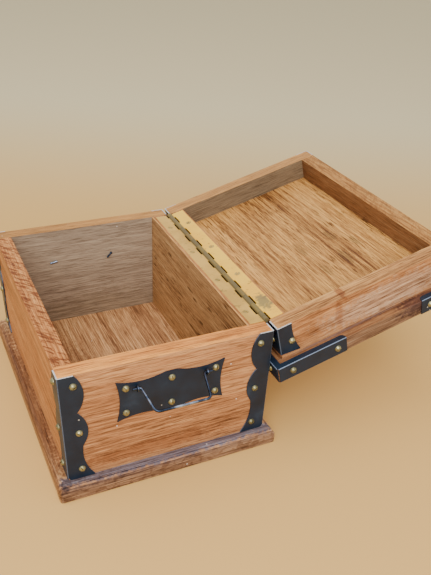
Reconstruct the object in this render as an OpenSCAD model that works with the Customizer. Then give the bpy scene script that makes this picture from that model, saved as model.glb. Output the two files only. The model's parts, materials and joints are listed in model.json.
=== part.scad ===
// Wooden puzzle box with a hinged lid, iron corner straps and two bail handles.
// Frame: origin at the centre of the base board's underside, +Z up, X along the hinge.
// The near end is +X, the front is -Y and the hinge side is +Y. The lid is drawn open.

/* [Body] */
// Outside length of the walls, along the hinge
body_l = 222; // [216:1:240]
// Outside depth of the walls, front to back
body_w = 158; // [152:1:170]
// Height of the walls above the base board
wall_h = 93.5; // [93:0.5:100]
// Thickness of the wall boards
wall_t = 12.7; // [12:0.1:13.5]
// Thickness of the base board
base_t = 12.5; // [10:0.5:16]
// How far the base board stands out past the walls
base_overhang = 9.5; // [8:0.5:12]
// Thickness of the loose lining in front of the back wall
lining_t = 1.5; // [1:0.1:2]

/* [Lid] */
// How far the lid stands open, from closed, in degrees
lid_open = 165; // [0:1:165]
// Height of the lid's rails
rail_h = 30.2; // [29:0.1:33]
// Thickness of the lid's top board
lid_board_t = 12.5; // [12:0.5:14]
// How far the top board stands out past the rails
lid_overhang = 9; // [8:0.5:9]
// Depth from the lid's rim to its inner panel
panel_depth = 19.3; // [16:0.1:21]
// Thickness of the inner panel
panel_t = 3; // [2:0.5:4]
// Gap between the two rims when the lid is closed
rim_gap = 1; // [0.8:0.1:1.2]

/* [Piano hinge] */
// Radius of the knuckles
knuckle_r = 2; // [1.9:0.05:2]
// Radius of the hinge pin
hinge_pin_r = 1; // [0.8:0.05:1.1]
// Length of one knuckle and its gap
knuckle_pitch = 12.7; // [12:0.1:14]
// Thickness of the leaves
leaf_t = 0.9; // [0.7:0.05:0.95]
// Width of a leaf, from its free edge to the barrel
leaf_w = 11.4; // [10:0.1:11.4]

/* [Ironwork] */
// Thickness of the corner straps
strap_t = 1; // [0.8:0.05:1]
// Thickness of the lid board's straps
lid_strap_t = 0.8; // [0.6:0.05:0.9]
// Thickness of the handle plates
plate_t = 1.2; // [1:0.1:1.4]
// Radius of the bail handles' wire
bail_r = 1; // [0.8:0.05:1]
// Length of a bail from its pivot to its bar
bail_reach = 21.5; // [20:0.5:22]
// How far the bails are swung out from hanging, in degrees
bail_out = 72; // [3:1:178]
// Radius of the round screw heads
head_r = 2.7; // [2.2:0.1:2.8]

/* [Hidden] */
$fn = 64;
clearance = 0.15;
rim_z = base_t + wall_h;
lid_rim_z = rim_z + rim_gap;
board_z = lid_rim_z + rail_h;
half_l = body_l / 2;
half_w = body_w / 2;
inner_x = half_l - wall_t;
inner_y = half_w - wall_t;
mid_wall_y = half_w - wall_t / 2;

// base board edge: a flat ledge, a small step and a tall round-over
corner_r = 3;
roundover_w = 3.6;
roundover_h = 7;
edge_step = 1;
edge_ease = 0.6;

// piano hinge
hinge_y = half_w + knuckle_r + 0.05;
hinge_z = rim_z + rim_gap / 2;
leaf_edge_y = hinge_y - knuckle_r - 0.3;
leaf_x0 = -inner_x + 2.4;
leaf_x1 = inner_x - 0.2;
leaf_gap = 0.2;
leaf_z = hinge_z - leaf_gap / 2 - leaf_t;
knuckle_play = 0.2;
pin_play = 0.05;
knuckle_notch = 1.3;
first_knuckle_l = 6.2;
shortest_knuckle = 2;
knuckle_x = concat(
    [leaf_x0],
    [for (x = [leaf_x0 + first_knuckle_l:knuckle_pitch:leaf_x1 - shortest_knuckle]) x],
    [leaf_x1]
);
barrel_rebate = 2;
hinge_screw_in = 7.1;
hinge_screw_y = half_w - hinge_screw_in;
hinge_screw_x = [-70.6, -19.8, 31, 81.8];

// screws
head_h = 2.2;
shank_r = 1.4;
shank_l = 7;
tip_l = 2.5;
slot_w = 0.9;
slot_d = 1.1;
csk_r = 2.4;
csk_h = 1.1;

// body corner straps: two lobes over a flared foot
strap_lift = 0.2;
upper_lobe_r = 25;
upper_lobe = [16 - upper_lobe_r, 77.5];
lower_lobe_r = 23.4;
lower_lobe = [17 - lower_lobe_r, 45];
foot_r = 41.3;
foot_cut = [12 + foot_r, 24];
cusp_z = 61.4;
waist_z = 31.4;
strap_max_w = 19;
strap_corner_r = 2.5;
strap_screws = [[9.3, 85], [10.4, 43.5], [10.1, 9.1]];

// lid rail straps
rail_strap_r = 55;
rail_strap_w = 11;
rail_strap_bottom = [17, strap_lift];
rail_strap_tip = [15.9, 27.5];
rail_strap_top = 25.8;
rail_strap_screw = [9.5, 16.2];

// lid board straps
lip_w = 4.3;
strap_start = 0.4;
long_leg = 60;
short_leg = 46;
leg_w = 15;
plate_corner_r = 7.5;
plate_fillet = 10;
long_screws = [12.1, 51.9];
short_screws = [12.1, 37.8];
top_screws = [[12, 12], [51.9, 9], [9, 37.8]];

// handles: plate outline half sizes, eyes and bail
plate_w = 41;
plate_h = 17.3;
plate_z = base_t + 61.9;
bulge_w = 4.5;
top_dip = 3.1;
side_dip = 2.5;
plate_screws = [[34, 11.2], [-34, 11.2], [34.3, -10.4], [-34.3, -10.4], [0, 11.6], [0, -10.7]];
near_handle = [0, 0];
far_handle = [-3.5, -9];
eye_y = 26.2;
eye_z = 10.8;
eye_wire_r = 0.75;
eye_play = 0.08;
eye_r = bail_r + eye_play + eye_wire_r;
pivot_out = 3.6;
pin_r = 1.15;
pin_leg_r = 0.85;
pin_leg_l = 5.5;
bail_top_w = 23.8;
bail_bar_w = 20.5;
bail_end_w = 30;
bail_bend = 4;
bail_hook = 1.6;
bail_lean = atan((bail_top_w - bail_bar_w) / bail_reach);
bail_straight = bail_bar_w - bail_bend * tan((90 - bail_lean) / 2);
weld = 0.02;

// lid cleats, hidden catch and secret pocket
cleat_w = 8;
cleat_h = rail_h - panel_depth - panel_t;
magnet_r = 3;
magnet_h = 3;
skin = 1.5;
slider_l = 26;
slider_w = 6.8;
slider_h = 9;
slider_travel = 35;
slot_x0 = -slider_l / 2 - 0.5;
slot_x1 = slider_l / 2 + slider_travel + 0.5;
slot_y_w = 7.2;
slot_top = rim_z - skin;
slider_z = slot_top - slider_h - 0.3;
pocket_depth = 5;
pocket_l = 120;
pocket_z0 = base_t + 22;
pocket_h = 42;
groove_d = 1;
base_screw_x = [-104.6, -70, 70, 104.6];
base_screw_end_y = 45;
base_screw_l = 25;

wood_tan = [0.72, 0.50, 0.33];
wood_pale = [0.80, 0.60, 0.38];
wood_brown = [0.52, 0.35, 0.24];
iron = [0.14, 0.15, 0.18];
steel = [0.30, 0.32, 0.36];
brass = [0.72, 0.62, 0.36];
aged_brass = [0.60, 0.55, 0.36];

// ---- placing ----

// Turns the closed lid about the hinge to where it stands open.
module lid_pose() {
    translate([0, hinge_y, hinge_z])
        rotate([-lid_open, 0, 0])
            translate([0, -hinge_y, -hinge_z])
                children();
}

// Mirrors a shape made for the near (+X), back (+Y) corner into another corner.
module to_corner(side, face) {
    mirror([side < 0 ? 1 : 0, 0, 0])
        mirror([0, face < 0 ? 1 : 0, 0])
            children();
}

module all_corners() {
    for (side = [-1, 1], face = [-1, 1])
        to_corner(side, face) children();
}

// Copies a shape on the +Y side of a corner on to its +X side as well.
module both_faces() {
    children();
    mirror([1, -1, 0]) children();
}

// Stands an outline, drawn as (distance from corner, height), up on the +Y face.
module on_back_face() {
    rotate([90, 0, 180]) children();
}

// Puts a screw, made pointing down -Z, at (distance from corner, height) on the +Y face.
module screw_place(spot, out) {
    translate([-spot[0], out, spot[1]])
        rotate([-90, 0, 0])
            rotate([0, 0, spot[0] * 37 + spot[1] * 11])
                children();
}

// ---- screws ----

module shank(length = shank_l) {
    translate([0, 0, tip_l - length]) cylinder(r = shank_r, h = length - tip_l);
    translate([0, 0, -length]) cylinder(r1 = 0.3, r2 = shank_r, h = tip_l);
}

// A slotted round-head screw. Its head sits on z = 0 and its shank runs down through a sheet.
module round_screw(sheet) {
    dome_r = (head_r * head_r + head_h * head_h) / (2 * head_h);
    color(aged_brass) {
        difference() {
            intersection() {
                translate([0, 0, head_h - dome_r]) sphere(r = dome_r);
                cylinder(r = head_r, h = head_h);
            }
            translate([-head_r, -slot_w / 2, head_h - slot_d]) cube([2 * head_r, slot_w, slot_d]);
        }
        translate([0, 0, -sheet]) cylinder(r = shank_r, h = sheet);
        translate([0, 0, -sheet]) shank();
    }
}

// A flat-head screw whose head ends flush at z = 0.
module flat_screw(tint, length = 9) {
    color(tint) {
        difference() {
            translate([0, 0, -csk_h]) cylinder(r1 = shank_r, r2 = csk_r, h = csk_h);
            translate([-csk_r, -slot_w / 2, -0.5]) cube([2 * csk_r, slot_w, 0.5]);
        }
        translate([0, 0, -csk_h]) shank(length - csk_h);
    }
}

module flat_screw_bore(length = 9) {
    translate([0, 0, -csk_h]) cylinder(r1 = shank_r, r2 = csk_r, h = csk_h);
    translate([0, 0, -csk_h]) shank(length - csk_h);
}

// ---- boards ----

// Half of a board's cross-section from its middle to a moulded edge.
function moulded_edge(half, thick) = concat(
    [[0, 0], [half - edge_ease, 0], [half, edge_ease]],
    [for (a = [90:-9:0])
        [half - roundover_w + roundover_w * sin(a),
         thick - edge_step - roundover_h + roundover_h * cos(a)]],
    [[half - roundover_w, thick], [0, thick]]
);

module moulded_section(half, thick) {
    polygon(moulded_edge(half, thick));
    mirror([1, 0]) polygon(moulded_edge(half, thick));
}

module rounded_rect(l, w, r) {
    square([l - 2 * r, w], center = true);
    square([l, w - 2 * r], center = true);
    for (x = [-1, 1], y = [-1, 1])
        translate([x * (l / 2 - r), y * (w / 2 - r)]) circle(r = r);
}

module base_board() {
    l = body_l + 2 * base_overhang;
    w = body_w + 2 * base_overhang;
    color(wood_brown) difference() {
        intersection() {
            translate([-l / 2, 0, 0]) rotate([90, 0, 90])
                linear_extrude(l) moulded_section(w / 2, base_t);
            translate([0, w / 2, 0]) rotate([90, 0, 0])
                linear_extrude(w) moulded_section(l / 2, base_t);
            linear_extrude(base_t) rounded_rect(l, w, corner_r);
        }
        base_screw_places() flat_screw_bore(base_screw_l);
    }
}

module base_screw_places() {
    for (x = base_screw_x, face = [-1, 1])
        translate([x, face * (abs(x) > inner_x ? base_screw_end_y : mid_wall_y), 0])
            rotate([180, 0, x + face * 20]) children();
}

module base_screws() {
    base_screw_places() flat_screw(aged_brass, base_screw_l);
}

// ---- body walls ----

// The end wall at +X, full depth, drilled for the straps, handle pins and base screws.
// The handle stands off its place by the given distances along Y and Z.
module end_wall(handle) {
    difference() {
        translate([inner_x, -half_w, base_t]) cube([wall_t, body_w, wall_h]);
        body_strap_screw_places() shank();
        handle_screw_places(handle) translate([0, 0, -plate_t]) shank();
        for (y = [-eye_y, eye_y])
            translate([inner_x - 1, handle[0] + y, plate_z + eye_z + handle[1]])
                rotate([0, 90, 0]) cylinder(r = pin_r, h = wall_t + 2);
        base_screw_places() flat_screw_bore(base_screw_l);
        translate([inner_x - 1, inner_y - lining_t - 2 * clearance, base_t - 1])
            cube([1 + groove_d, lining_t + 2 * clearance, wall_h + 2]);
    }
}

module body_strap_screw_places() {
    for (face = [-1, 1], spot = strap_screws)
        to_corner(1, face) translate([half_l, half_w, base_t])
            both_faces() screw_place(spot, 0) children();
}

module end_wall_near() {
    color(wood_tan) end_wall(near_handle);
}

module end_wall_far() {
    color(wood_brown) mirror([1, 0, 0]) end_wall(far_handle);
}

// The front wall holds a blind slot, open only at the base, where the hidden catch slides.
module front_wall() {
    color(wood_tan) difference() {
        translate([-inner_x, -half_w, base_t]) cube([2 * inner_x, wall_t, wall_h]);
        translate([slot_x0, -mid_wall_y - slot_y_w / 2, base_t - 1])
            cube([slot_x1 - slot_x0, slot_y_w, slot_top - base_t + 1]);
        base_screw_places() flat_screw_bore(base_screw_l);
    }
}

// What is cut from the body's rim for its leaf, with a deeper rebate beside the barrel.
module leaf_recess() {
    recess_l = leaf_x1 - leaf_x0 + 0.2;
    translate([leaf_x0 - 0.1, leaf_edge_y - leaf_w, leaf_z])
        cube([recess_l, wall_t + leaf_w, rim_z]);
    translate([leaf_x0 - 0.1, leaf_edge_y - knuckle_notch, leaf_z - barrel_rebate])
        cube([recess_l, wall_t, rim_z]);
}

// The back wall is let in for the hinge leaf and holds the secret pocket behind the lining.
module back_wall() {
    color(wood_tan) difference() {
        translate([-inner_x, inner_y, base_t]) cube([2 * inner_x, wall_t, wall_h]);
        leaf_recess();
        translate([-pocket_l / 2, inner_y - 1, pocket_z0])
            cube([pocket_l, 1 + pocket_depth, pocket_h]);
        hinge_screw_places() flat_screw_bore();
        base_screw_places() flat_screw_bore(base_screw_l);
    }
}

module back_lining() {
    l = 2 * (inner_x + groove_d - clearance);
    color(wood_pale)
        translate([-l / 2, inner_y - lining_t - clearance, base_t + 0.1])
            cube([l, lining_t, wall_h - 0.3]);
}

// ---- body corner straps ----

module strap_outline() {
    difference() {
        translate([0, strap_lift]) square([strap_max_w, waist_z - strap_lift]);
        translate(foot_cut) circle(r = foot_r, $fn = 180);
        translate([0, strap_lift]) corner_cut(strap_corner_r);
    }
    intersection() {
        translate([0, waist_z]) square([strap_max_w, cusp_z - waist_z]);
        translate(lower_lobe) circle(r = lower_lobe_r, $fn = 180);
    }
    intersection() {
        translate([0, cusp_z]) square([strap_max_w, wall_h - cusp_z]);
        translate(upper_lobe) circle(r = upper_lobe_r, $fn = 180);
    }
}

module corner_cut(r) {
    difference() {
        square(r);
        translate([r, r]) circle(r = r);
    }
}

module body_strap(side, face) {
    color(iron) to_corner(side, face) translate([half_l, half_w, base_t]) {
        difference() {
            both_faces() on_back_face() linear_extrude(strap_t) strap_outline();
            both_faces() for (spot = strap_screws)
                screw_place(spot, strap_t) translate([0, 0, -2 * strap_t])
                    cylinder(r = shank_r, h = 3 * strap_t);
        }
        translate([0, 0, strap_lift + strap_corner_r])
            fold(strap_t, wall_h - strap_lift - strap_corner_r);
    }
}

// The rounded outside of a folded sheet: a quarter of a cylinder round the corner's edge.
module fold(thick, length) {
    rotate_extrude(angle = 90) square([thick, length]);
}

module body_strap_screws() {
    all_corners() translate([half_l, half_w, base_t])
        both_faces() for (spot = strap_screws)
            screw_place(spot, strap_t) round_screw(strap_t);
}

// ---- handles ----

// Plate outline, centred, with a shallow scallop on each side of a middle bulge.
module plate_outline() {
    top_span = (plate_w - bulge_w) / 2;
    top_r = (top_span * top_span + top_dip * top_dip) / (2 * top_dip);
    side_r = (plate_h * plate_h + side_dip * side_dip) / (2 * side_dip);
    difference() {
        square([2 * plate_w, 2 * plate_h], center = true);
        for (x = [-1, 1], y = [-1, 1])
            translate([x * (bulge_w + top_span), y * (plate_h - top_dip + top_r)])
                circle(r = top_r, $fn = 180);
        for (x = [-1, 1])
            translate([x * (plate_w - side_dip + side_r), 0]) circle(r = side_r, $fn = 180);
    }
}

module handle_screw_places(handle) {
    for (spot = plate_screws)
        translate([half_l + plate_t, handle[0] + spot[0], plate_z + handle[1] + spot[1]])
            rotate([0, 90, 0]) rotate([0, 0, spot[0] * 31 + spot[1] * 17]) children();
}

module handle_plate(handle) {
    color(iron) difference() {
        translate([half_l, handle[0], plate_z + handle[1]])
            rotate([90, 0, 90]) linear_extrude(plate_t) plate_outline();
        handle_screw_places(handle) translate([0, 0, -2 * plate_t])
            cylinder(r = shank_r, h = 3 * plate_t);
        for (y = [-eye_y, eye_y])
            translate([half_l - 1, handle[0] + y, plate_z + eye_z + handle[1]])
                rotate([0, 90, 0]) cylinder(r = pin_r, h = plate_t + 2);
    }
}

// One split pin at +X: an eye outside, a shank through the wall, its legs bent inside.
module split_pin(y, handle, bend_turn) {
    leg_x = -pivot_out - wall_t - pin_leg_r - weld;
    shank_end = leg_x - pin_leg_r / 2;
    translate([half_l + pivot_out, handle[0] + y, plate_z + eye_z + handle[1]]) {
        rotate([90, 0, 0]) rotate_extrude() translate([eye_r, 0]) circle(r = eye_wire_r, $fn = 32);
        translate([shank_end, 0, 0]) rotate([0, 90, 0]) cylinder(r = pin_r, h = -shank_end - eye_r);
        translate([leg_x, 0, 0]) rotate([90 + bend_turn, 0, 0])
            translate([0, 0, -pin_leg_r]) cylinder(r = pin_leg_r, h = pin_leg_l + pin_leg_r);
    }
}

module split_pins_near() {
    color(steel) {
        split_pin(-eye_y, near_handle, 12);
        split_pin(eye_y, near_handle, 160);
    }
}

module split_pins_far() {
    color(steel) mirror([1, 0, 0]) {
        split_pin(-eye_y, far_handle, 10);
        split_pin(eye_y, far_handle, 45);
    }
}

module wire_arc(bend_r, start, turn) {
    rotate([0, 0, start]) rotate_extrude(angle = turn)
        translate([bend_r, 0]) circle(r = bail_r, $fn = 32);
}

// A straight run of a bail's wire along +X, a hair thinner than its bends and let into them.
module wire_run(length) {
    translate([-weld * 3, 0, 0]) rotate([0, 90, 0])
        cylinder(r = bail_r - weld, h = length + weld * 6, $fn = 32);
}

// Half of a bail in its own plane: its hook on the pivot, leg, corner and half bar.
module bail_half() {
    turn = 90 - bail_lean;
    corner_run = bail_bend * tan(turn / 2);
    hook_run = bail_hook * tan(turn / 2);
    leg_l = bail_reach / cos(bail_lean) - corner_run - hook_run;
    translate([bail_top_w + hook_run, 0, 0])
        wire_run(bail_end_w - bail_top_w - hook_run);
    translate([bail_top_w + hook_run, bail_hook, 0])
        wire_arc(bail_hook, 180 + bail_lean, turn);
    translate([bail_top_w - hook_run * sin(bail_lean), hook_run * cos(bail_lean), 0])
        rotate([0, 0, 90 + bail_lean]) wire_run(leg_l);
    translate([bail_bar_w - corner_run, bail_reach - bail_bend, 0])
        wire_arc(bail_bend, bail_lean, turn);
}

// The bail at +X, turned out about its pivot.
module bail(handle) {
    color(steel)
        translate([half_l + pivot_out, handle[0], plate_z + eye_z + handle[1]])
            rotate([0, -bail_out, 0]) rotate([90, 0, -90]) rotate([0, 0, 180]) {
                bail_half();
                mirror([1, 0, 0]) bail_half();
                translate([-bail_straight, bail_reach, 0]) wire_run(2 * bail_straight);
            }
}

module handle_plate_screws() {
    handle_screw_places(near_handle) round_screw(plate_t);
    mirror([1, 0, 0]) handle_screw_places(far_handle) round_screw(plate_t);
}

// ---- piano hinge, in the closed position ----

module hinge_screw_places() {
    for (x = hinge_screw_x)
        translate([x, hinge_screw_y, leaf_z + leaf_t]) rotate([0, 0, x * 7]) children();
}

// Turns a shape on the body's leaf over on to the lid's leaf.
module to_lid_leaf() {
    translate([0, 0, 2 * hinge_z]) mirror([0, 0, 1]) children();
}

// A knuckle with the tongue of the plate that it is rolled from.
module knuckle(length) {
    translate([0, hinge_y, hinge_z]) rotate([0, 90, 0]) cylinder(r = knuckle_r, h = length);
    translate([0, leaf_edge_y - knuckle_notch - 1, leaf_z])
        cube([length, knuckle_notch + 1.9, leaf_t]);
}

// One leaf: every second knuckle from the given first one, and the plate, cut back between them.
module hinge_leaf(first, bore_r) {
    difference() {
        union() {
            translate([leaf_x0, leaf_edge_y - leaf_w, leaf_z])
                cube([leaf_x1 - leaf_x0, leaf_w - knuckle_notch, leaf_t]);
            for (i = [first:2:len(knuckle_x) - 2])
                translate([knuckle_x[i] + knuckle_play / 2, 0, 0])
                    knuckle(knuckle_x[i + 1] - knuckle_x[i] - knuckle_play);
        }
        translate([leaf_x0 - 1, hinge_y, hinge_z]) rotate([0, 90, 0])
            cylinder(r = bore_r, h = leaf_x1 - leaf_x0 + 2);
        hinge_screw_places() flat_screw_bore();
    }
}

module hinge_leaf_body() {
    color(brass) hinge_leaf(1, hinge_pin_r);
}

module hinge_leaf_lid() {
    color(brass) lid_pose() to_lid_leaf() hinge_leaf(0, hinge_pin_r + pin_play);
}

module hinge_pin() {
    color(brass) translate([leaf_x0, hinge_y, hinge_z]) rotate([0, 90, 0])
        cylinder(r = hinge_pin_r, h = leaf_x1 - leaf_x0);
}

module hinge_screws_body() {
    hinge_screw_places() flat_screw(brass);
}

module hinge_screws_lid() {
    lid_pose() to_lid_leaf() hinge_screw_places() flat_screw(brass);
}

// ---- lid, in the closed position ----

module lid_board() {
    l = body_l + 2 * lid_overhang;
    w = body_w + 2 * lid_overhang;
    color(wood_tan) lid_pose() difference() {
        translate([0, 0, board_z]) linear_extrude(lid_board_t) rounded_rect(l, w, 1.5);
        board_strap_places() shank();
    }
}

module lid_end_rail() {
    difference() {
        translate([inner_x, -half_w, lid_rim_z]) cube([wall_t, body_w, rail_h]);
        for (face = [-1, 1])
            to_corner(1, face) translate([half_l, half_w, lid_rim_z])
                both_faces() screw_place(rail_strap_screw, 0) shank();
    }
}

module lid_end_rail_near() {
    color(wood_tan) lid_pose() lid_end_rail();
}

module lid_end_rail_far() {
    color(wood_tan) lid_pose() mirror([1, 0, 0]) lid_end_rail();
}

module lid_front_rail() {
    color(wood_tan) lid_pose() difference() {
        translate([-inner_x, -half_w, lid_rim_z]) cube([2 * inner_x, wall_t, rail_h]);
        translate([0, -mid_wall_y, lid_rim_z + skin]) cylinder(r = magnet_r, h = rail_h);
    }
}

module lid_back_rail() {
    color(wood_tan) lid_pose() difference() {
        translate([-inner_x, inner_y, lid_rim_z]) cube([2 * inner_x, wall_t, rail_h]);
        to_lid_leaf() {
            leaf_recess();
            hinge_screw_places() flat_screw_bore();
        }
    }
}

module lid_panel() {
    color(wood_tan) lid_pose()
        translate([-inner_x, -inner_y, lid_rim_z + panel_depth])
            cube([2 * inner_x, 2 * inner_y, panel_t]);
}

module lid_cleat_end(side) {
    color(wood_pale) lid_pose()
        translate([side * (inner_x - cleat_w / 2), 0, board_z - cleat_h / 2])
            cube([cleat_w, 2 * inner_y, cleat_h], center = true);
}

module lid_cleat_side(face) {
    color(wood_pale) lid_pose()
        translate([0, face * (inner_y - cleat_w / 2), board_z - cleat_h / 2])
            cube([2 * (inner_x - cleat_w), cleat_w, cleat_h], center = true);
}

// ---- lid rail straps ----

module rail_strap_outline() {
    difference() {
        polygon([[0, strap_lift], rail_strap_bottom, rail_strap_tip, [0, rail_strap_top]]);
        translate([rail_strap_w + rail_strap_r, 5]) circle(r = rail_strap_r, $fn = 180);
    }
}

module rail_strap(side, face) {
    color(iron) lid_pose() to_corner(side, face) translate([half_l, half_w, lid_rim_z]) {
        difference() {
            both_faces() on_back_face() linear_extrude(strap_t) rail_strap_outline();
            both_faces() screw_place(rail_strap_screw, strap_t)
                translate([0, 0, -2 * strap_t]) cylinder(r = shank_r, h = 3 * strap_t);
        }
        translate([0, 0, strap_lift]) fold(strap_t, rail_strap_top - strap_lift);
    }
}

module rail_strap_screws() {
    lid_pose() all_corners() translate([half_l, half_w, lid_rim_z])
        both_faces() screw_place(rail_strap_screw, strap_t) round_screw(strap_t);
}

// ---- lid board straps ----

// One leg on the +Y edge of the board: its flange, its lip under the ledge and their folds.
module strap_leg(leg) {
    run = leg - strap_start;
    translate([-leg, 0, 0]) cube([run, lid_strap_t, lid_board_t]);
    translate([-leg, 0, 0]) rotate([90, 0, 90])
        linear_extrude(run) quarter_fold();
    translate([-leg, 0, lid_board_t]) rotate([90, 0, 90])
        linear_extrude(run) mirror([0, 1]) quarter_fold();
    difference() {
        translate([-leg, -lip_w, -lid_strap_t]) cube([run, lip_w, lid_strap_t]);
        translate([-leg, -lip_w, 0]) lip_end_cut();
        translate([-strap_start, -lip_w, 0]) mirror([1, 0, 0]) lip_end_cut();
    }
}

// Quarter disc below the board's lower edge, seen along the edge.
module quarter_fold() {
    intersection() {
        circle(r = lid_strap_t, $fn = 32);
        translate([0, -lid_strap_t]) square(lid_strap_t);
    }
}

module lip_end_cut() {
    r = lip_w - 0.6;
    translate([0, 0, -2 * lid_strap_t]) difference() {
        cube([r, r, 3 * lid_strap_t]);
        translate([r, r, -1]) cylinder(r = r, h = 5 * lid_strap_t);
    }
}

// Corner plate on the board's outer face, with legs of the two lengths and a round inside.
module corner_plate_outline(x_leg, y_leg) {
    difference() {
        union() {
            translate([-x_leg, -leg_w]) square([x_leg - strap_start, leg_w]);
            translate([-leg_w, -y_leg]) square([leg_w, y_leg - strap_start]);
            translate([-leg_w - plate_fillet, -leg_w - plate_fillet]) square(plate_fillet + 1);
        }
        translate([-leg_w - plate_fillet, -leg_w - plate_fillet]) circle(r = plate_fillet);
        translate([-x_leg, -leg_w]) corner_cut(plate_corner_r);
        translate([-leg_w, -y_leg]) corner_cut(plate_corner_r);
        translate([-strap_start, -strap_start]) square(strap_start + 1);
    }
}

// A strap with its long leg on the end (+X) edge, or on the long (+Y) edge.
module board_strap(side, face, long_on_end) {
    x_leg = long_on_end ? short_leg : long_leg;
    y_leg = long_on_end ? long_leg : short_leg;
    color(iron) lid_pose() to_corner(side, face)
        translate([half_l + lid_overhang, half_w + lid_overhang, board_z]) difference() {
            union() {
                strap_leg(x_leg);
                mirror([1, -1, 0]) strap_leg(y_leg);
                translate([0, 0, lid_board_t])
                    linear_extrude(lid_strap_t) corner_plate_outline(x_leg, y_leg);
            }
            board_strap_holes(long_on_end) translate([0, 0, -2]) cylinder(r = shank_r, h = 4);
        }
}

// Screw spots on one strap: two on each leg and three through the corner plate.
module board_strap_holes(long_on_end) {
    x_spots = long_on_end ? short_screws : long_screws;
    y_spots = long_on_end ? long_screws : short_screws;
    for (w = x_spots) screw_place([w, lid_board_t / 2], 0) children();
    mirror([1, -1, 0]) for (w = y_spots) screw_place([w, lid_board_t / 2], 0) children();
    for (spot = top_screws) {
        across = long_on_end ? [spot[1], spot[0]] : spot;
        translate([-across[0], -across[1], lid_board_t]) rotate([0, 0, 29 * spot[0]]) children();
    }
}

module board_strap_places() {
    for (side = [-1, 1], face = [-1, 1])
        to_corner(side, face)
            translate([half_l + lid_overhang, half_w + lid_overhang, board_z])
                board_strap_holes(face > 0) children();
}

module board_strap_screws() {
    lid_pose() board_strap_places() translate([0, 0, lid_strap_t]) round_screw(lid_strap_t);
}

// ---- hidden catch ----

module catch_slider() {
    color(wood_pale) difference() {
        translate([-slider_l / 2, -mid_wall_y - slider_w / 2, slider_z])
            cube([slider_l, slider_w, slider_h]);
        translate([0, -mid_wall_y, slider_z + slider_h - magnet_h])
            cylinder(r = magnet_r, h = magnet_h + 1);
    }
}

module catch_magnet() {
    color("silver") translate([0, -mid_wall_y, slider_z + slider_h - magnet_h])
        cylinder(r = magnet_r, h = magnet_h);
}

module catch_guide_block() {
    color(wood_pale)
        translate([slot_x0, -mid_wall_y - slot_y_w / 2, base_t])
            cube([slot_x1 - slot_x0, slot_y_w, slider_z - 0.2 - base_t]);
}

module lid_magnet() {
    color("silver") lid_pose() translate([0, -mid_wall_y, lid_rim_z + skin])
        cylinder(r = magnet_r, h = magnet_h);
}

module lid_magnet_plug() {
    color(wood_pale) lid_pose() translate([0, -mid_wall_y, lid_rim_z + skin + magnet_h])
        cylinder(r = magnet_r, h = rail_h - skin - magnet_h);
}

base_board();
end_wall_near();
end_wall_far();
front_wall();
back_wall();
back_lining();
body_strap(1, -1);  // body_strap_near_front
body_strap(1, 1);  // body_strap_near_back
body_strap(-1, -1);  // body_strap_far_front
body_strap(-1, 1);  // body_strap_far_back
body_strap_screws();
handle_plate(near_handle);  // handle_plate_near
mirror([1, 0, 0]) handle_plate(far_handle);  // handle_plate_far
handle_plate_screws();
split_pins_near();
split_pins_far();
bail(near_handle);  // bail_near
mirror([1, 0, 0]) bail(far_handle);  // bail_far
hinge_leaf_body();
hinge_leaf_lid();
hinge_pin();
hinge_screws_body();
hinge_screws_lid();
base_screws();
lid_board();
lid_end_rail_near();
lid_end_rail_far();
lid_front_rail();
lid_back_rail();
lid_panel();
lid_cleat_end(1);  // lid_cleat_near
lid_cleat_end(-1);  // lid_cleat_far
lid_cleat_side(-1);  // lid_cleat_front
lid_cleat_side(1);  // lid_cleat_back
rail_strap(1, -1);  // rail_strap_near_front
rail_strap(1, 1);  // rail_strap_near_back
rail_strap(-1, -1);  // rail_strap_far_front
rail_strap(-1, 1);  // rail_strap_far_back
rail_strap_screws();
board_strap(1, -1, false);  // board_strap_near_front
board_strap(1, 1, true);  // board_strap_near_back
board_strap(-1, -1, false);  // board_strap_far_front
board_strap(-1, 1, true);  // board_strap_far_back
board_strap_screws();
catch_slider();
catch_magnet();
catch_guide_block();
lid_magnet();
lid_magnet_plug();
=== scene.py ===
"""A wooden puzzle box with iron straps, bail handles and an open hinged lid, dressed for rendering.

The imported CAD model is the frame. Every node keeps its own shape: this file rounds edges with
modifiers and gives each piece a procedural material, then sets the floor, the light and the camera.
Marks on the pieces are placed in millimetres, with the lid shut. All else is in metres.
"""

import json
import math
from collections import namedtuple

import bpy
from mathutils import Matrix, Vector


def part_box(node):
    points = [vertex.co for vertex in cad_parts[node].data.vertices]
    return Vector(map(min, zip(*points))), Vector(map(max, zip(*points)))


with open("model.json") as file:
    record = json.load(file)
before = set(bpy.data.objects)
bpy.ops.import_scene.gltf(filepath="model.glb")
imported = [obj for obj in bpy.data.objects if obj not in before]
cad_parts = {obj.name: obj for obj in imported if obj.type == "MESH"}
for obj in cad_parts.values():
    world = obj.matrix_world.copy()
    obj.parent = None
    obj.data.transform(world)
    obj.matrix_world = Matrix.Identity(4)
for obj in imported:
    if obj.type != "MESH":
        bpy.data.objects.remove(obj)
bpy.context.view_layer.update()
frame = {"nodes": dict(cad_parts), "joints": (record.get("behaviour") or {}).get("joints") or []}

NODES = frame["nodes"]
MM = 0.001
UP = Vector((0, 0, 1))

# Sides of the box, with the lid shut
NEAR, FAR = (1, 0, 0), (-1, 0, 0)
BACK, FRONT = (0, 1, 0), (0, -1, 0)
RIM, LID_RIM = (0, 0, 1), (0, 0, -1)
SIX_WAYS = [NEAR, FAR, BACK, FRONT, RIM, LID_RIM]

# Which axis the fibres run along
GRAIN_X, GRAIN_Y = 0, 1

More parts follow.
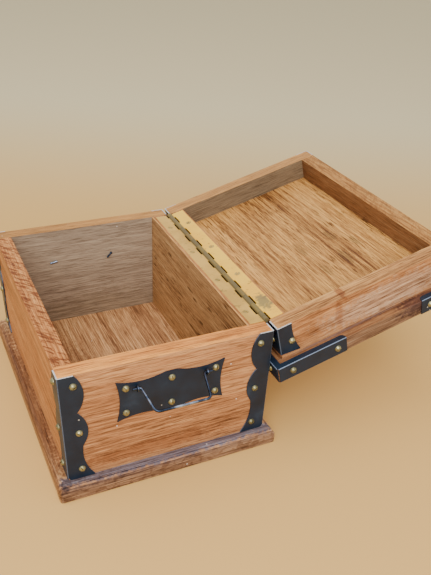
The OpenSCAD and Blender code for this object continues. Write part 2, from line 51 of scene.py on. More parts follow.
# The lid turns about a line along X and stands open at rest
LID_JOINT = next(joint for joint in frame["joints"] if joint["name"] == "lid_hinge")
HINGE = Vector(LID_JOINT["pos_m"])
LID_TURN = math.radians(-LID_JOINT["range_deg"][0])
LID_SHUT = Matrix.Rotation(LID_TURN, 3, "X")

# Faces of the box's walls, in millimetres, for placing marks
WALL_LOW, WALL_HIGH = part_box("end_wall_near")
END_X = WALL_HIGH.x / MM
FRONT_Y, BACK_Y = WALL_LOW.y / MM, WALL_HIGH.y / MM
FLOOR_Z, RIM_Z = WALL_LOW.z / MM, WALL_HIGH.z / MM
# How deep the marks on the lining, on the lid's panel and on the lid's board lie
LINING_Y = BACK_Y - 14
PANEL_Z = RIM_Z + 20
BOARD_Z = RIM_Z + 35

# What a wood can carry. A figure is curled mottling on one side, a side is a face of another shade,
# some of them painted light or painted shade, and a mark is a stain, a dent, painted shade or a
# painted highlight, shaped as an ellipsoid.
Figure = namedtuple("Figure", "direction tint amount size")
Side = namedtuple("Side", "direction tint amount")
Mark = namedtuple("Mark", "centre radii tint amount")


# ---------------------------------------------------------------- node building

# Where a mix node keeps its two colours and its mixed colour
MIX_A, MIX_B, MIX_RESULT = 6, 7, 2
# How ragged a mark's edge is, and where it fades and fills, with 1 at the ellipsoid's surface
RAGGED = 1.4
BLOB_EDGE, BLOB_CORE = 1.15, 0.55


class Tree:
    """Builds a material's nodes with short calls; each call returns the socket it makes."""

    def __init__(self, name):
        self.material = bpy.data.materials.new(name)
        self.material.use_nodes = True
        self.tree = self.material.node_tree
        self.shader = self.tree.nodes["Principled BSDF"]

    def node(self, kind, inputs=None, **settings):
        made = self.tree.nodes.new(kind)
        for key, value in settings.items():
            setattr(made, key, value)
        for key, value in (inputs or {}).items():
            self.feed(made.inputs[key], value)
        return made

    def feed(self, socket, value):
        if isinstance(value, bpy.types.NodeSocket):
            self.tree.links.new(value, socket)
        elif socket.type == "RGBA" and len(value) == 3:
            socket.default_value = (*value, 1)
        else:
            socket.default_value = value

    def set(self, **inputs):
        for key, value in inputs.items():
            self.feed(self.shader.inputs[key.replace("_", " ")], value)

    def math(self, operation, a, b=0.0):
        return self.node("ShaderNodeMath", {0: a, 1: b}, operation=operation).outputs[0]

    def vector(self, operation, a, b):
        made = self.node("ShaderNodeVectorMath", {0: a, 1: b}, operation=operation)
        return made.outputs["Value" if operation in ("DOT_PRODUCT", "LENGTH") else "Vector"]

    def sum(self, *parts):
        """The sum of (socket, weight) pairs."""
        total = self.math("MULTIPLY", *parts[0])
        for part in parts[1:]:
            total = self.math("ADD", total, self.math("MULTIPLY", *part))
        return total

    def range(self, value, low, high, to_low=0.0, to_high=1.0, smooth=True):
        made = self.node("ShaderNodeMapRange",
                         {"Value": value, "From Min": low, "From Max": high,
                          "To Min": to_low, "To Max": to_high})
        made.interpolation_type = "SMOOTHSTEP" if smooth else "LINEAR"
        return made.outputs["Result"]

    def noise(self, place, scale=1.0, detail=4.0, rough=0.55, distortion=0.0):
        return self.node("ShaderNodeTexNoise",
                         {"Vector": place, "Scale": scale, "Detail": detail, "Roughness": rough,
                          "Distortion": distortion}).outputs["Fac"]

    def specks(self, place, per_metre, outer, inner, patches, rare):
        """1 in a few small round specks; outer and inner are where a speck fades and fills."""
        spot = self.node("ShaderNodeTexVoronoi",
                         {"Vector": place, "Scale": per_metre, "Randomness": 1.0})
        chosen = self.noise(place, scale=patches, detail=0)
        return self.math("MULTIPLY", self.range(spot.outputs["Distance"], outer, inner),
                         self.range(chosen, rare, rare + 0.04))

    def mix(self, amount, a, b, blend="MIX"):
        return self.node("ShaderNodeMix", {"Factor": amount, MIX_A: a, MIX_B: b},
                         data_type="RGBA", blend_type=blend).outputs[MIX_RESULT]

    def cover(self, colour, mask, amount, paint):
        """Lays paint over the colour where the mask is 1."""
        return self.mix(self.math("MULTIPLY", mask, amount), colour, paint)

    def shade(self, colour, mask, amount, tint):
        """Multiplies the colour by a tint where the mask is 1."""
        return self.mix(self.math("MULTIPLY", mask, amount), colour, tint, "MULTIPLY")

    def ramp(self, value, stops):
        made = self.node("ShaderNodeValToRGB", {"Fac": value})
        points = made.color_ramp.elements
        while len(points) < len(stops):
            points.new(0.5)
        for point, (where, colour) in zip(points, stops):
            point.position = where
            point.color = (*colour, 1)
        return made.outputs["Color"]

    def bump(self, height, strength, distance, below=None):
        made = self.node("ShaderNodeBump", {"Height": height, "Strength": strength,
                                            "Distance": distance})
        if below is not None:
            self.feed(made.inputs["Normal"], below)
        return made.outputs["Normal"]

    def place(self, turn=(0, 0, 0), scale=(1, 1, 1), offset=(0, 0, 0), source=None):
        source = source or self.node("ShaderNodeTexCoord").outputs["Object"]
        return self.node("ShaderNodeMapping",
                         {"Vector": source, "Rotation": turn, "Scale": scale,
                          "Location": offset}).outputs["Vector"]

    def closed(self, lid):
        """Where a point lies with the lid shut."""
        if not lid:
            return self.place()
        return self.place(turn=(LID_TURN, 0, 0), offset=HINGE - LID_SHUT @ HINGE)

    def facing(self, direction, lid, low=0.55, high=0.8):
        """1 where the surface faces the direction, given with the lid shut."""
        normal = self.node("ShaderNodeTexCoord").outputs["Normal"]
        way = LID_SHUT.inverted() @ Vector(direction) if lid else direction
        return self.range(self.vector("DOT_PRODUCT", normal, tuple(way)), low, high)

    def blob(self, home, mark):
        """1 inside a mark's ellipsoid, with a ragged edge."""
        away = self.vector("SUBTRACT", home, tuple(v * MM for v in mark.centre))
        away = self.vector("MULTIPLY", away, tuple(1 / (v * MM) for v in mark.radii))
        away = self.vector("LENGTH", away, (0, 0, 0))
        wobble = self.math("SUBTRACT", self.noise(home, scale=320, detail=3), 0.5)
        away = self.math("ADD", away, self.math("MULTIPLY", wobble, RAGGED))
        return self.range(away, BLOB_EDGE, BLOB_CORE)


def srgb(red, green, blue):
    """A colour given as it looks on screen, 0 to 255, in the shader's linear values."""
    def linear(value):
        value /= 255
        return value / 12.92 if value <= 0.04045 else ((value + 0.055) / 1.055) ** 2.4
    return linear(red), linear(green), linear(blue)


# ---------------------------------------------------------------- wood

# Colours from dark to light along the tone of the grain
TAN = [(0.05, srgb(112, 66, 38)), (0.40, srgb(178, 120, 78)), (0.68, srgb(202, 144, 96)),
       (0.95, srgb(214, 160, 108))]
ORANGE = [(0.05, srgb(110, 58, 28)), (0.42, srgb(172, 111, 64)), (0.72, srgb(196, 137, 86)),
          (0.95, srgb(212, 158, 104))]
TAUPE = [(0.05, srgb(112, 92, 74)), (0.45, srgb(152, 132, 110)), (0.72, srgb(168, 148, 124)),
         (0.95, srgb(182, 162, 138))]
BASE = [(0.05, srgb(112, 72, 46)), (0.40, srgb(176, 126, 84)), (0.70, srgb(206, 156, 106)),
        (0.95, srgb(226, 178, 126))]
LINING = [(0.05, srgb(112, 74, 44)), (0.42, srgb(168, 124, 78)), (0.72, srgb(188, 144, 94)),
          (0.95, srgb(206, 164, 112))]
PANEL = [(0.04, srgb(104, 62, 30)), (0.36, srgb(172, 120, 64)), (0.66, srgb(208, 154, 84)),
         (0.95, srgb(224, 172, 98))]
PLAIN = [(0.1, srgb(178, 140, 100)), (0.9, srgb(214, 180, 138))]

# Tints that multiply the wood's colour
FIBRE_TINTS = [(0.30, (0.36, 0.30, 0.26)), (0.5, (0.98, 0.97, 0.96)), (0.70, (1.26, 1.24, 1.16))]
PORE = (0.22, 0.15, 0.12)
DARK_CURL = (0.34, 0.20, 0.13)
# Dark dents in the lining, and painted shade in the gap under the hinge's knuckles
DARK_DENT_AND_PAINTED_GAP_SHADE = (0.22, 0.17, 0.14)
# Painted highlight: a bluish reflection on the rounded edges of the base board and of the lid's
# board
LAVENDER_PAINTED_HIGHLIGHT = (0.32, 0.58, 1.7)
# Painted reflection: a bluish sheen on the outer face of the lid's near rail
LILAC_PAINTED_REFLECTION = (1.12, 1.55, 2.4)
PURPLE = (0.34, 0.30, 0.50)
EDGE_BROWN = (0.42, 0.50, 0.75)
LEDGE_BROWN = (0.55, 0.50, 0.50)
LOW_BROWN = (0.62, 0.50, 0.44)
LOW_SHADE = (0.86, 0.86, 0.80)
FLOOR_SHADE = (0.58, 0.48, 0.42)
SMUDGE = (0.42, 0.46, 0.52)
RED_STAIN = (0.50, 0.30, 0.24)
OUTER_TAN = (1.42, 0.92, 0.42)
# Painted light: the near wall's rim is painted lighter and more golden than its faces
PAINTED_LIGHT_RIM_GOLD = (1.38, 1.18, 0.62)
NEAR_PALE = (0.93, 1.0, 1.06)
# Painted light on the front wall's rim, the lining's top edge and the lid's rims, which face up with
# the lid open
PAINTED_LIGHT_FRONT_RIM = (1.15, 1.12, 0.95)
PAINTED_LIGHT_LINING_EDGE = (1.5, 1.42, 1.15)
PAINTED_LIGHT_LID_RIM = (1.03, 1.12, 0.90)
LID_NEAR_PALE = (0.98, 1.05, 1.06)
LID_FRONT_GOLD = (0.92, 1.03, 0.82)
# The inner face of the lid's front rail: the wood's own darker brown, with painted shade
INSIDE_BROWN_AND_PAINTED_SHADE = (0.50, 0.54, 0.60)
# Painted shade on the inner face of the lid's far rail
INSIDE_PAINTED_SHADE_GREY = (0.60, 0.56, 0.48)

DUST = (0.90, 0.84, 0.76)
SEED_STEPS = (1.37, 0.71, 0.29)   # how far a seed moves the grain along X, Y and Z
CURL_SLANT = math.radians(-38)    # how the curled figure crosses the grain
TONE_SPREAD = 0.16                # half the noise's usual range
FIBRE_STRENGTH = 0.85             # how strongly the fibres' tints show

# How often each layer of the grain repeats in a metre, along the fibres and then across them
STREAKS = (36, 1150)
FIBRE_LINES = (60, 1700)
PORE_DASHES = (65, 800)
PORE_PATCHES = (8, 70)
# Bands and lines repeat this often along the fibres. Each wood says how often bands cross them, and
# there are this many lines to a band
BANDS_ALONG, LINES_ALONG = 2.4, 7
LINES_PER_BAND = 9


class Wood(Tree):
    """Planed, oiled hardwood. grain is the axis of the fibres with the lid shut.

    Past end_strip, a distance along X, the grain runs along the end instead.
    """

    def __init__(self, name, grain, lid, seed, end_strip):
        super().__init__(name)
        self.grain = grain
        self.lid = lid
        self.shut = self.closed(lid)
        self.home = self.vector("ADD", self.shut, tuple(seed * step for step in SEED_STEPS))
        if end_strip:
            self.home = self.turned_past(end_strip)
        self.wander = self.noise(self.place(scale=(7, 7, 7), source=self.home), detail=2)
        self.fibres = self.layer(*FIBRE_LINES, rough=0.7)

    def turned_past(self, distance):
        parts = self.node("ShaderNodeSeparateXYZ", {"Vector": self.shut})
        out = self.math("ABSOLUTE", parts.outputs["X"])
        turned = self.place(turn=(0, 0, math.radians(90)), source=self.home)
        return self.mix(self.math("GREATER_THAN", out, distance), self.home, turned)

    def layer(self, along, across, detail=3, rough=0.55, distortion=0.0):
        """Noise drawn out along the fibres; along and across are how often it repeats a metre."""
        scale = [across] * 3
        scale[self.grain] = along
        return self.noise(self.place(scale=scale, source=self.home), detail=detail, rough=rough,
                          distortion=distortion)

    def lines(self, band):
        return self.layer(LINES_ALONG, band * LINES_PER_BAND, rough=0.6, distortion=0.2)

    def tone(self, band, lines, contrast):
        """Broad bands, lines and fine streaks, from 0 for dark to 1 for light."""
        bands = self.layer(BANDS_ALONG, band, distortion=0.6)
        streaks = self.layer(*STREAKS, rough=0.78, distortion=0.1)
        drift = self.math("SUBTRACT", self.wander, 0.5)
        tone = self.sum((bands, 0.26), (lines, 0.26), (streaks, 0.48), (drift, 0.15))
        spread = TONE_SPREAD / contrast
        return self.range(tone, 0.5 - spread, 0.5 + spread, smooth=False)

    def pores(self):
        """Short dark dashes along the grain, in patches."""
        dash = self.layer(*PORE_DASHES, detail=2, rough=0.5)
        patch = self.layer(*PORE_PATCHES, detail=2)
        return self.math("MULTIPLY", self.range(dash, 0.56, 0.66), self.range(patch, 0.34, 0.56))

    def curl(self, direction, size):
        """Slanting lines on the side that faces the direction."""
        slant = self.place(turn=(0, 0, CURL_SLANT), source=self.home)
        lines = self.noise(self.place(scale=(size * 0.30, size * 1.6, size), source=slant),
                           detail=3, rough=0.55, distortion=0.5)
        return self.math("MULTIPLY", self.range(lines, 0.50, 0.57), self.facing(direction, self.lid))

    def surface(self, lines, pores, rough):
        """Oiled sheen, soft dents and the relief of the grain."""
        sheen = self.sum((self.fibres, 0.5), (self.wander, 0.5))
        dents = self.bump(self.wander, 0.25, 0.6 * MM)
        relief = self.bump(lines, 0.35, 0.12 * MM, dents)
        relief = self.bump(self.fibres, 0.30, 0.06 * MM, relief)
        relief = self.bump(self.math("MULTIPLY", pores, -1.0), 0.5, 0.10 * MM, relief)
        self.set(Roughness=self.range(sheen, 0.3, 0.7, *rough), Normal=relief)
        self.set(Specular_IOR_Level=0.2)


def wood(name, grain, stops, lid=False, seed=0.0, band=38.0, contrast=1.15, pore=0.5, figure=None,
         sides=(), marks=(), rough=(0.42, 0.62), dust=0.0, end_strip=None):
    """A wood. stops colour the tone from dark to light, band is how many bands cross a metre, pore
    is the strength of the open pores, dust that of the dust specks and rough its roughness range.
    """
    w = Wood(name, grain, lid, seed, end_strip)
    lines, pores = w.lines(band), w.pores()
    colour = w.ramp(w.tone(band, lines, contrast), stops)
    colour = w.mix(FIBRE_STRENGTH, colour, w.ramp(w.fibres, FIBRE_TINTS), "MULTIPLY")
    colour = w.shade(colour, pores, pore, PORE)
    if figure:
        colour = w.shade(colour, w.curl(figure.direction, figure.size), figure.amount, figure.tint)
    for side in sides:
        colour = w.shade(colour, w.facing(side.direction, lid), side.amount, side.tint)
    for mark in marks:
        colour = w.shade(colour, w.blob(w.shut, mark), mark.amount, mark.tint)
    if dust:
        specks = w.specks(w.home, 95, 0.075, 0.045, patches=40, rare=0.60)
        colour = w.cover(colour, specks, dust, DUST)
    w.set(Base_Color=colour)
    w.surface(lines, pores, rough)
    return w.material


# ---------------------------------------------------------------- metals

IRON_PAINT = [(0.3, srgb(16, 27, 42)), (0.6, srgb(24, 39, 56)), (0.8, srgb(44, 60, 78))]
IRON_SCUFF = srgb(112, 114, 116)
IRON_SPECK = srgb(200, 198, 190)
# Painted highlight, bluish, along the folds of the sheet
IRON_PAINTED_FOLD_HIGHLIGHT = srgb(150, 168, 196)
# Bare metal on the cut edges, with a painted highlight
IRON_BARE_AND_PAINTED_HIGHLIGHT = srgb(206, 206, 204)
# Dark bluish wire; the brightest stop is a painted highlight
WIRE_AND_PAINTED_GLINTS = [(0.38, srgb(34, 42, 58)), (0.55, srgb(72, 84, 106)), (0.70, srgb(168, 180, 200))]
BRIGHT = [(0.3, (0.5, 0.5, 0.5)), (0.7, (0.72, 0.72, 0.73))]
BARREL = srgb(84, 82, 64)
BARREL_EDGE, BARREL_CORE = 2.9 * MM, 2.1 * MM   # radii where the knuckles' tint starts and fills
HINGE_TARNISH = srgb(112, 104, 78)


def painted_iron(name, bright_edge_way, lid=False, fold_highlight=0.0):
    """Charcoal paint on sheet, scuffed. The cut edges that face the given way are bare metal with a
    painted highlight, and the last argument sets how strongly a bluish painted highlight lies along
    the folds."""
    t = Tree(name)
    home = t.place()
    cloud = t.noise(home, scale=45, detail=4)
    grit = t.noise(home, scale=1400, detail=3)
    scuff = t.noise(t.place(scale=(90, 90, 600)), detail=4, rough=0.75)
    colour = t.cover(t.ramp(cloud, IRON_PAINT), t.range(scuff, 0.70, 0.76), 0.5, IRON_SCUFF)
    specks = t.specks(home, 120, 0.09, 0.05, patches=55, rare=0.62)
    colour = t.cover(colour, specks, 0.8, IRON_SPECK)
    # A painted bluish highlight along the folds
    if fold_highlight:
        colour = t.cover(colour, folds(t, lid, grit), fold_highlight, IRON_PAINTED_FOLD_HIGHLIGHT)
    # Bare metal on the cut edges, with a painted highlight on them
    if bright_edge_way:
        edge = t.math("MULTIPLY", t.facing(bright_edge_way, lid, 0.75, 0.92),
                      t.range(grit, 0.35, 0.55, 0.55, 1))
        colour = t.mix(edge, colour, IRON_BARE_AND_PAINTED_HIGHLIGHT)
    t.set(Base_Color=colour, Roughness=t.range(cloud, 0.3, 0.7, 0.36, 0.52), Metallic=0.0)
    t.set(Normal=t.bump(grit, 0.18, 0.05 * MM, t.bump(cloud, 0.12, 0.5 * MM)))
    t.set(Specular_IOR_Level=0.3)
    return t.material


def folds(t, lid, grit):
    """1 on the eased edges, which face none of the six ways squarely, broken up by the grit."""
    squares = [t.facing(way, lid, 0.90, 0.97) for way in SIX_WAYS]
    flat = squares[0]
    for square in squares[1:]:
        flat = t.math("MAXIMUM", flat, square)
    return t.math("MULTIPLY", t.math("SUBTRACT", 1.0, flat), t.range(grit, 0.3, 0.5, 0.4, 1))


def dark_steel(name):
    """Blackened wire: smooth, with painted highlights, bright and bluish, in stretches."""
    t = Tree(name)
    home = t.place()
    glint = t.noise(home, scale=70, detail=3)
    t.set(Base_Color=t.ramp(glint, WIRE_AND_PAINTED_GLINTS), Metallic=0.9, Roughness=t.range(glint, 0.3, 0.75, 0.16, 0.30))
    t.set(Normal=t.bump(t.noise(home, scale=900, detail=2), 0.15, 0.04 * MM))
    return t.material


def brass(name, clean, dull, stain, rough=(0.30, 0.50), metallic=0.1, shine=0.25, lid=False,
          barrel=None, marks=()):
    """Brass strip or screws: tarnish in soft clouds, fine scratches and darker spots. barrel is
    the tint of the knuckles round the hinge line."""
    t = Tree(name)
    home = t.closed(lid)
    cloud = t.noise(home, scale=35, detail=5, rough=0.6)
    colour = t.mix(t.range(cloud, 0.38, 0.66), clean, dull)
    colour = t.cover(colour, t.range(t.noise(home, scale=240, detail=4), 0.60, 0.70), 0.5, stain)
    if barrel:
        away = t.vector("MULTIPLY", t.vector("SUBTRACT", home, tuple(HINGE)), (0, 1, 1))
        away = t.vector("LENGTH", away, (0, 0, 0))
        colour = t.mix(t.range(away, BARREL_EDGE, BARREL_CORE, 0, 0.85), colour, barrel)
    for mark in marks:
        colour = t.cover(colour, t.blob(home, mark), mark.amount, mark.tint)
    scratch = t.noise(t.place(scale=(60, 2600, 2600)), detail=2)
    t.set(Base_Color=colour, Metallic=metallic, Specular_IOR_Level=shine)
    t.set(Roughness=t.range(cloud, 0.3, 0.7, *rough))
    t.set(Normal=t.bump(scratch, 0.12, 0.03 * MM, t.bump(cloud, 0.2, 0.25 * MM)))
    return t.material


def bright_steel(name):
    t = Tree(name)
    scratch = t.noise(t.place(scale=(900, 900, 900)), detail=3)
    t.set(Base_Color=t.ramp(scratch, BRIGHT), Metallic=1.0)
    t.set(Roughness=t.range(scratch, 0.3, 0.7, 0.15, 0.3))
    return t.material


# ---------------------------------------------------------------- dressing the pieces

def dress(names, material):
    for name in names:
        slots = NODES[name].data.materials
        slots.clear()
        slots.append(material)


def soften(names, width):
    """Shades curved faces smooth and rounds the arrises by the width, where there is one."""
    for name in names:
        piece = NODES[name]
        for face in piece.data.polygons:
            face.use_smooth = True
        piece.data.set_sharp_from_angle(angle=math.radians(32))
        if width:
            bevel = piece.modifiers.new("eased", "BEVEL")
            bevel.width = width
            bevel.segments = 2
            bevel.limit_method = "ANGLE"
            bevel.angle_limit = math.radians(50)
            bevel.harden_normals = True


# Dents in the lining: X, Z, length, height and depth of shade
LINING_DENTS = [(-53, 89, 5, 1.4, 0.9), (-6, 78, 6, 1.2, 0.9), (5, 74, 5, 1.2, 0.9),
                (20, 60, 4, 1.2, 0.8), (35, 82, 5, 1.4, 0.9), (-25, 52, 4, 1.2, 0.7)]
# Grey smudges on the lid's panel: X, Y, length, width and depth of shade
PANEL_SMUDGES = [(8, -30, 11, 4, 0.55), (29, -42, 10, 3.5, 0.55), (43, -23, 13, 3.5, 0.6),
                 (50, 0, 10, 3.5, 0.45), (10, 2, 13, 4, 0.45)]


def dress_walls():
    dress(["end_wall_near"], wood(
        "near_wall_wood", GRAIN_Y, TAN, seed=1.1, band=30, dust=0.8,
        # the rim's tint is painted light
        sides=[Side(RIM, PAINTED_LIGHT_RIM_GOLD, 1.0), Side(NEAR, NEAR_PALE, 1.0)],
        marks=[Mark((END_X, -15, FLOOR_Z + 11.5), (3, 62, 7), LOW_BROWN, 0.7)]))
    dress(["end_wall_far"], wood(
        "far_wall_wood", GRAIN_Y, TAUPE, seed=2.3, band=34, dust=0.4, pore=0.3, contrast=0.9,
        rough=(0.6, 0.8), sides=[Side(RIM, OUTER_TAN, 1.0), Side(FAR, OUTER_TAN, 1.0)],
        marks=[Mark((13 - END_X, 0, FLOOR_Z - 0.5), (12, 90, 26), LOW_SHADE, 0.7)]))
    dress(["front_wall"], wood(
        "front_wall_wood", GRAIN_X, ORANGE, seed=3.7, figure=Figure(RIM, DARK_CURL, 0.85, 300),
        # the rim's tint is painted light
        sides=[Side(RIM, PAINTED_LIGHT_FRONT_RIM, 1.0)]))
    dress(["back_wall"], wood(
        "back_wall_wood", GRAIN_X, ORANGE, seed=4.2,
        # painted shade in the gap under the hinge's knuckles, along the rim's back edge
        marks=[Mark((0, BACK_Y + 1, RIM_Z - 1), (400, 4, 4), DARK_DENT_AND_PAINTED_GAP_SHADE, 1.0)]))
    dress(["back_lining"], wood(
        "lining_wood", GRAIN_X, LINING, seed=5.9, pore=1.0, contrast=1.3,
        # the top edge's tint is painted light
        sides=[Side(RIM, PAINTED_LIGHT_LINING_EDGE, 1.0)],
        marks=[Mark((x, LINING_Y, z), (length, 4, height), DARK_DENT_AND_PAINTED_GAP_SHADE, amount)
               for x, z, length, height, amount in LINING_DENTS]))


def dress_base():
    dress(["base_board"], wood(
        "base_wood", GRAIN_X, BASE, seed=6.4, band=30, dust=0.5, contrast=1.4, end_strip=END_X * MM,
        figure=Figure(NEAR, DARK_CURL, 0.45, 150), sides=[Side(NEAR, EDGE_BROWN, 0.8)],
        # The first mark is a painted highlight, bluish, on the roundover of the near edge
        marks=[Mark((END_X + 2, 0, FLOOR_Z + 0.5), (7, 160, 4), LAVENDER_PAINTED_HIGHLIGHT, 0.9),
               Mark((0, FRONT_Y - 11, FLOOR_Z - 3.5), (180, 14, 12), LEDGE_BROWN, 1.0),
               Mark((10, FRONT_Y + 13, FLOOR_Z - 0.5), (120, 48, 6), FLOOR_SHADE, 0.8)]))


def dress_lid_rails():
    dress(["lid_end_rail_near"], wood(
        "lid_near_rail_wood", GRAIN_Y, TAN, lid=True, seed=7.8,
        # the rim's tint is painted light
        sides=[Side(LID_RIM, PAINTED_LIGHT_LID_RIM, 1.0), Side(NEAR, LID_NEAR_PALE, 1.0)],
        marks=[Mark((END_X - 7, 21, RIM_Z + 1), (9, 3.5, 5), RED_STAIN, 0.75),
               Mark((END_X + 1, 27, RIM_Z + 14), (4, 4, 14), RED_STAIN, 0.5),
               # a painted reflection, bluish, on the rail's outer face
               Mark((END_X + 1, -20, RIM_Z + 18), (6, 70, 14), LILAC_PAINTED_REFLECTION, 0.8)]))
    dress(["lid_end_rail_far"], wood(
        "lid_far_rail_wood", GRAIN_Y, TAUPE, lid=True, seed=12.1, pore=0.3, contrast=0.9,
        sides=[Side(LID_RIM, OUTER_TAN, 1.0), Side(FAR, OUTER_TAN, 0.8),
               # painted shade on the inner face
               Side(NEAR, INSIDE_PAINTED_SHADE_GREY, 1.0)]))
    dress(["lid_front_rail"], wood(
        "lid_front_rail_wood", GRAIN_X, ORANGE, lid=True, seed=8.5,
        figure=Figure(LID_RIM, DARK_CURL, 0.25, 300),
        # the inner face is darker: the wood's own brown, with painted shade
        sides=[Side(BACK, INSIDE_BROWN_AND_PAINTED_SHADE, 1.0), Side(LID_RIM, LID_FRONT_GOLD, 1.0)]))
    dress(["lid_back_rail"], wood(
        "lid_back_rail_wood", GRAIN_X, ORANGE, lid=True, seed=13.5,
        # painted shade in the gap under the hinge's knuckles, along the rim's back edge
        marks=[Mark((0, BACK_Y + 1, RIM_Z + 2), (400, 4, 4), DARK_DENT_AND_PAINTED_GAP_SHADE, 1.0)]))


def dress_lid_boards():
    dress(["lid_panel"], wood(
        "lid_panel_wood", GRAIN_X, PANEL, lid=True, seed=9.6, band=44, pore=0.8, contrast=1.45,
        marks=[Mark((x, y, PANEL_Z), (length, width, 5), SMUDGE, amount)
               for x, y, length, width, amount in PANEL_SMUDGES]))
    dress(["lid_board"], wood(
        "lid_board_wood", GRAIN_X, BASE, lid=True, seed=10.3, contrast=1.4, end_strip=END_X * MM,
        sides=[Side(NEAR, EDGE_BROWN, 0.9), Side(LID_RIM, LEDGE_BROWN, 1.0)],
        marks=[Mark((END_X + 6, -42, BOARD_Z), (8, 26, 9), PURPLE, 0.9),
               Mark((END_X + 8, -75, BOARD_Z + 3), (5, 45, 9), LOW_BROWN, 0.8),
               # a painted highlight, bluish, where the board meets the near rail
               Mark((END_X, 20, BOARD_Z - 4), (3, 60, 2), LAVENDER_PAINTED_HIGHLIGHT, 0.5)]))


def dress_hidden_wood():
    cleats = [name for name in NODES if name.startswith("lid_cleat")]
    dress(cleats + ["catch_guide_block", "catch_slider", "lid_magnet_plug"],
          wood("plain_wood", GRAIN_X, PLAIN, seed=11.0))


def dress_iron():
    # The last number is the strength of the painted highlight along the folds
    dress(sheets("body_strap"), painted_iron("strap_iron", RIM, fold_highlight=0.25))
    dress(sheets("handle_plate"), painted_iron("plate_iron", None, fold_highlight=0.1))
    dress(sheets("rail_strap"), painted_iron("rail_strap_iron", LID_RIM, lid=True, fold_highlight=0.25))
    dress(sheets("board_strap"), painted_iron("board_strap_iron", None, lid=True, fold_highlight=0.6))
    dress(["bail_near", "bail_far", "split_pins_near", "split_pins_far"], dark_steel("handle_wire"))
    dress(["catch_magnet", "lid_magnet"], bright_steel("magnet_steel"))


def sheets(kind):
    """The straps or plates of one kind, without their screws."""
    return [name for name in NODES if name.startswith(kind) and "screws" not in name]


def dress_brass():
    dress(["hinge_leaf_body", "hinge_pin"], brass(
        "hinge_brass_dull", srgb(220, 174, 84), srgb(194, 152, 74), srgb(112, 90, 50),
        barrel=BARREL))
    dress(["hinge_leaf_lid"], brass(
        "hinge_brass_gold", (1.0, 0.60, 0.06), (0.92, 0.49, 0.05), srgb(160, 116, 50), lid=True,
        barrel=BARREL, marks=[Mark((77, BACK_Y - 7, RIM_Z + 1), (12, 6, 5), HINGE_TARNISH, 0.8)]))
    dress(["hinge_screws_body", "hinge_screws_lid"], brass(
        "hinge_screw_brass", srgb(196, 164, 92), srgb(150, 126, 72), srgb(70, 60, 36),
        metallic=0.3))
    dress(["body_strap_screws", "handle_plate_screws", "rail_strap_screws", "board_strap_screws",
           "base_screws"], brass(
        "screw_brass", srgb(164, 158, 118), srgb(116, 112, 80), srgb(56, 54, 38),
        rough=(0.22, 0.40), metallic=0.75, shine=0.5))


def ease_edges():
    """Rounds the arrises of planed wood, the thin lining and cut sheet, each by its own width."""
    wooden = [name for name in NODES
              if name in ("front_wall", "back_wall", "base_board")
              or name.startswith(("end_wall", "lid_")) and "magnet" not in name]
    iron = [name for kind in ("body_strap", "rail_strap", "board_strap", "handle_plate")
            for name in sheets(kind)]
    eased = wooden + ["back_lining"] + iron
    soften(wooden, 0.45 * MM)
    soften(["back_lining"], 0.2 * MM)
    soften(iron, 0.12 * MM)
    soften([name for name in NODES if name not in eased], 0)


# ---------------------------------------------------------------- floor, light and camera

FLOOR_NEAR, FLOOR_FAR = srgb(218, 174, 104), srgb(222, 206, 164)
AWAY = (-0.89, 0.46, 0)              # the way the camera looks, along the floor
FADE_START, FADE_END = 0.25, 0.9     # where the floor's colour changes, from the box's middle
LIGHT_AIM = (0, 0.05, 0.05)


def floor():
    half = 3.0
    drop = -0.05 * MM                # just clear of the base board's underside
    corners = [(-half, -half, drop), (half, -half, drop), (half, half, drop), (-half, half, drop)]
    mesh = bpy.data.meshes.new("floor")
    mesh.from_pydata(corners, [], [(0, 1, 2, 3)])
    ground = bpy.data.objects.new("floor", mesh)
    bpy.context.scene.collection.objects.link(ground)
    t = Tree("pale_floor")
    fade = t.range(t.vector("DOT_PRODUCT", t.place(), AWAY), FADE_START, FADE_END)
    t.set(Base_Color=t.mix(fade, FLOOR_NEAR, FLOOR_FAR), Roughness=0.95, Specular_IOR_Level=0.1)
    mesh.materials.append(t.material)


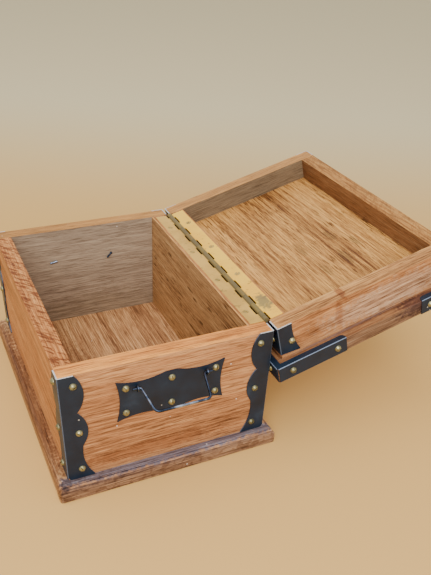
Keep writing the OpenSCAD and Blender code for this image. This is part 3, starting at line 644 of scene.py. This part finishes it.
def area_light(name, place, size, power, colour):
    lamp = bpy.data.lights.new(name, "AREA")
    lamp.shape = "SQUARE"
    lamp.size = size
    lamp.energy = power
    lamp.color = colour
    holder = bpy.data.objects.new(name, lamp)
    bpy.context.scene.collection.objects.link(holder)
    holder.location = place
    holder.rotation_euler = (Vector(LIGHT_AIM) - Vector(place)).to_track_quat("-Z", "Y").to_euler()


def sky(colour, strength):
    world = bpy.data.worlds.new("sky")
    world.use_nodes = True
    background = world.node_tree.nodes["Background"]
    background.inputs["Color"].default_value = (*colour, 1)
    background.inputs["Strength"].default_value = strength
    bpy.context.scene.world = world


def camera(place, yaw, pitch, roll, lens, shift):
    """A camera at place; yaw is from +X, pitch above level, roll clockwise, all in degrees."""
    yaw, pitch, roll = (math.radians(a) for a in (yaw, pitch, roll))
    ahead = Vector((math.cos(yaw) * math.cos(pitch), math.sin(yaw) * math.cos(pitch),
                    math.sin(pitch)))
    right = ahead.cross(UP).normalized()
    up = right.cross(ahead)
    right, up = (right * math.cos(roll) + up * math.sin(roll),
                 up * math.cos(roll) - right * math.sin(roll))
    turn = Matrix((right, up, -ahead)).transposed().to_4x4()
    data = bpy.data.cameras.new("camera")
    data.lens = lens
    data.sensor_width = 36
    data.shift_x, data.shift_y = shift
    data.clip_start = 0.01
    holder = bpy.data.objects.new("camera", data)
    holder.matrix_world = Matrix.Translation(place) @ turn
    bpy.context.scene.collection.objects.link(holder)
    bpy.context.scene.camera = holder


dress_walls()
dress_base()
dress_lid_rails()
dress_lid_boards()
dress_hidden_wood()
dress_iron()
dress_brass()
ease_edges()

floor()
sky((1.0, 1.0, 1.0), 0.85)
area_light("overhead", (0.1, -0.3, 1.5), size=1.6, power=12, colour=(1.0, 0.98, 0.95))
area_light("near_side", (1.2, -0.4, 1.0), size=1.2, power=24, colour=(1.0, 0.98, 0.96))
camera((0.4485, -0.1394, 0.3707), yaw=152.72, pitch=-37.58, roll=3.74, lens=41.18,
       shift=(0.0, 0.15))
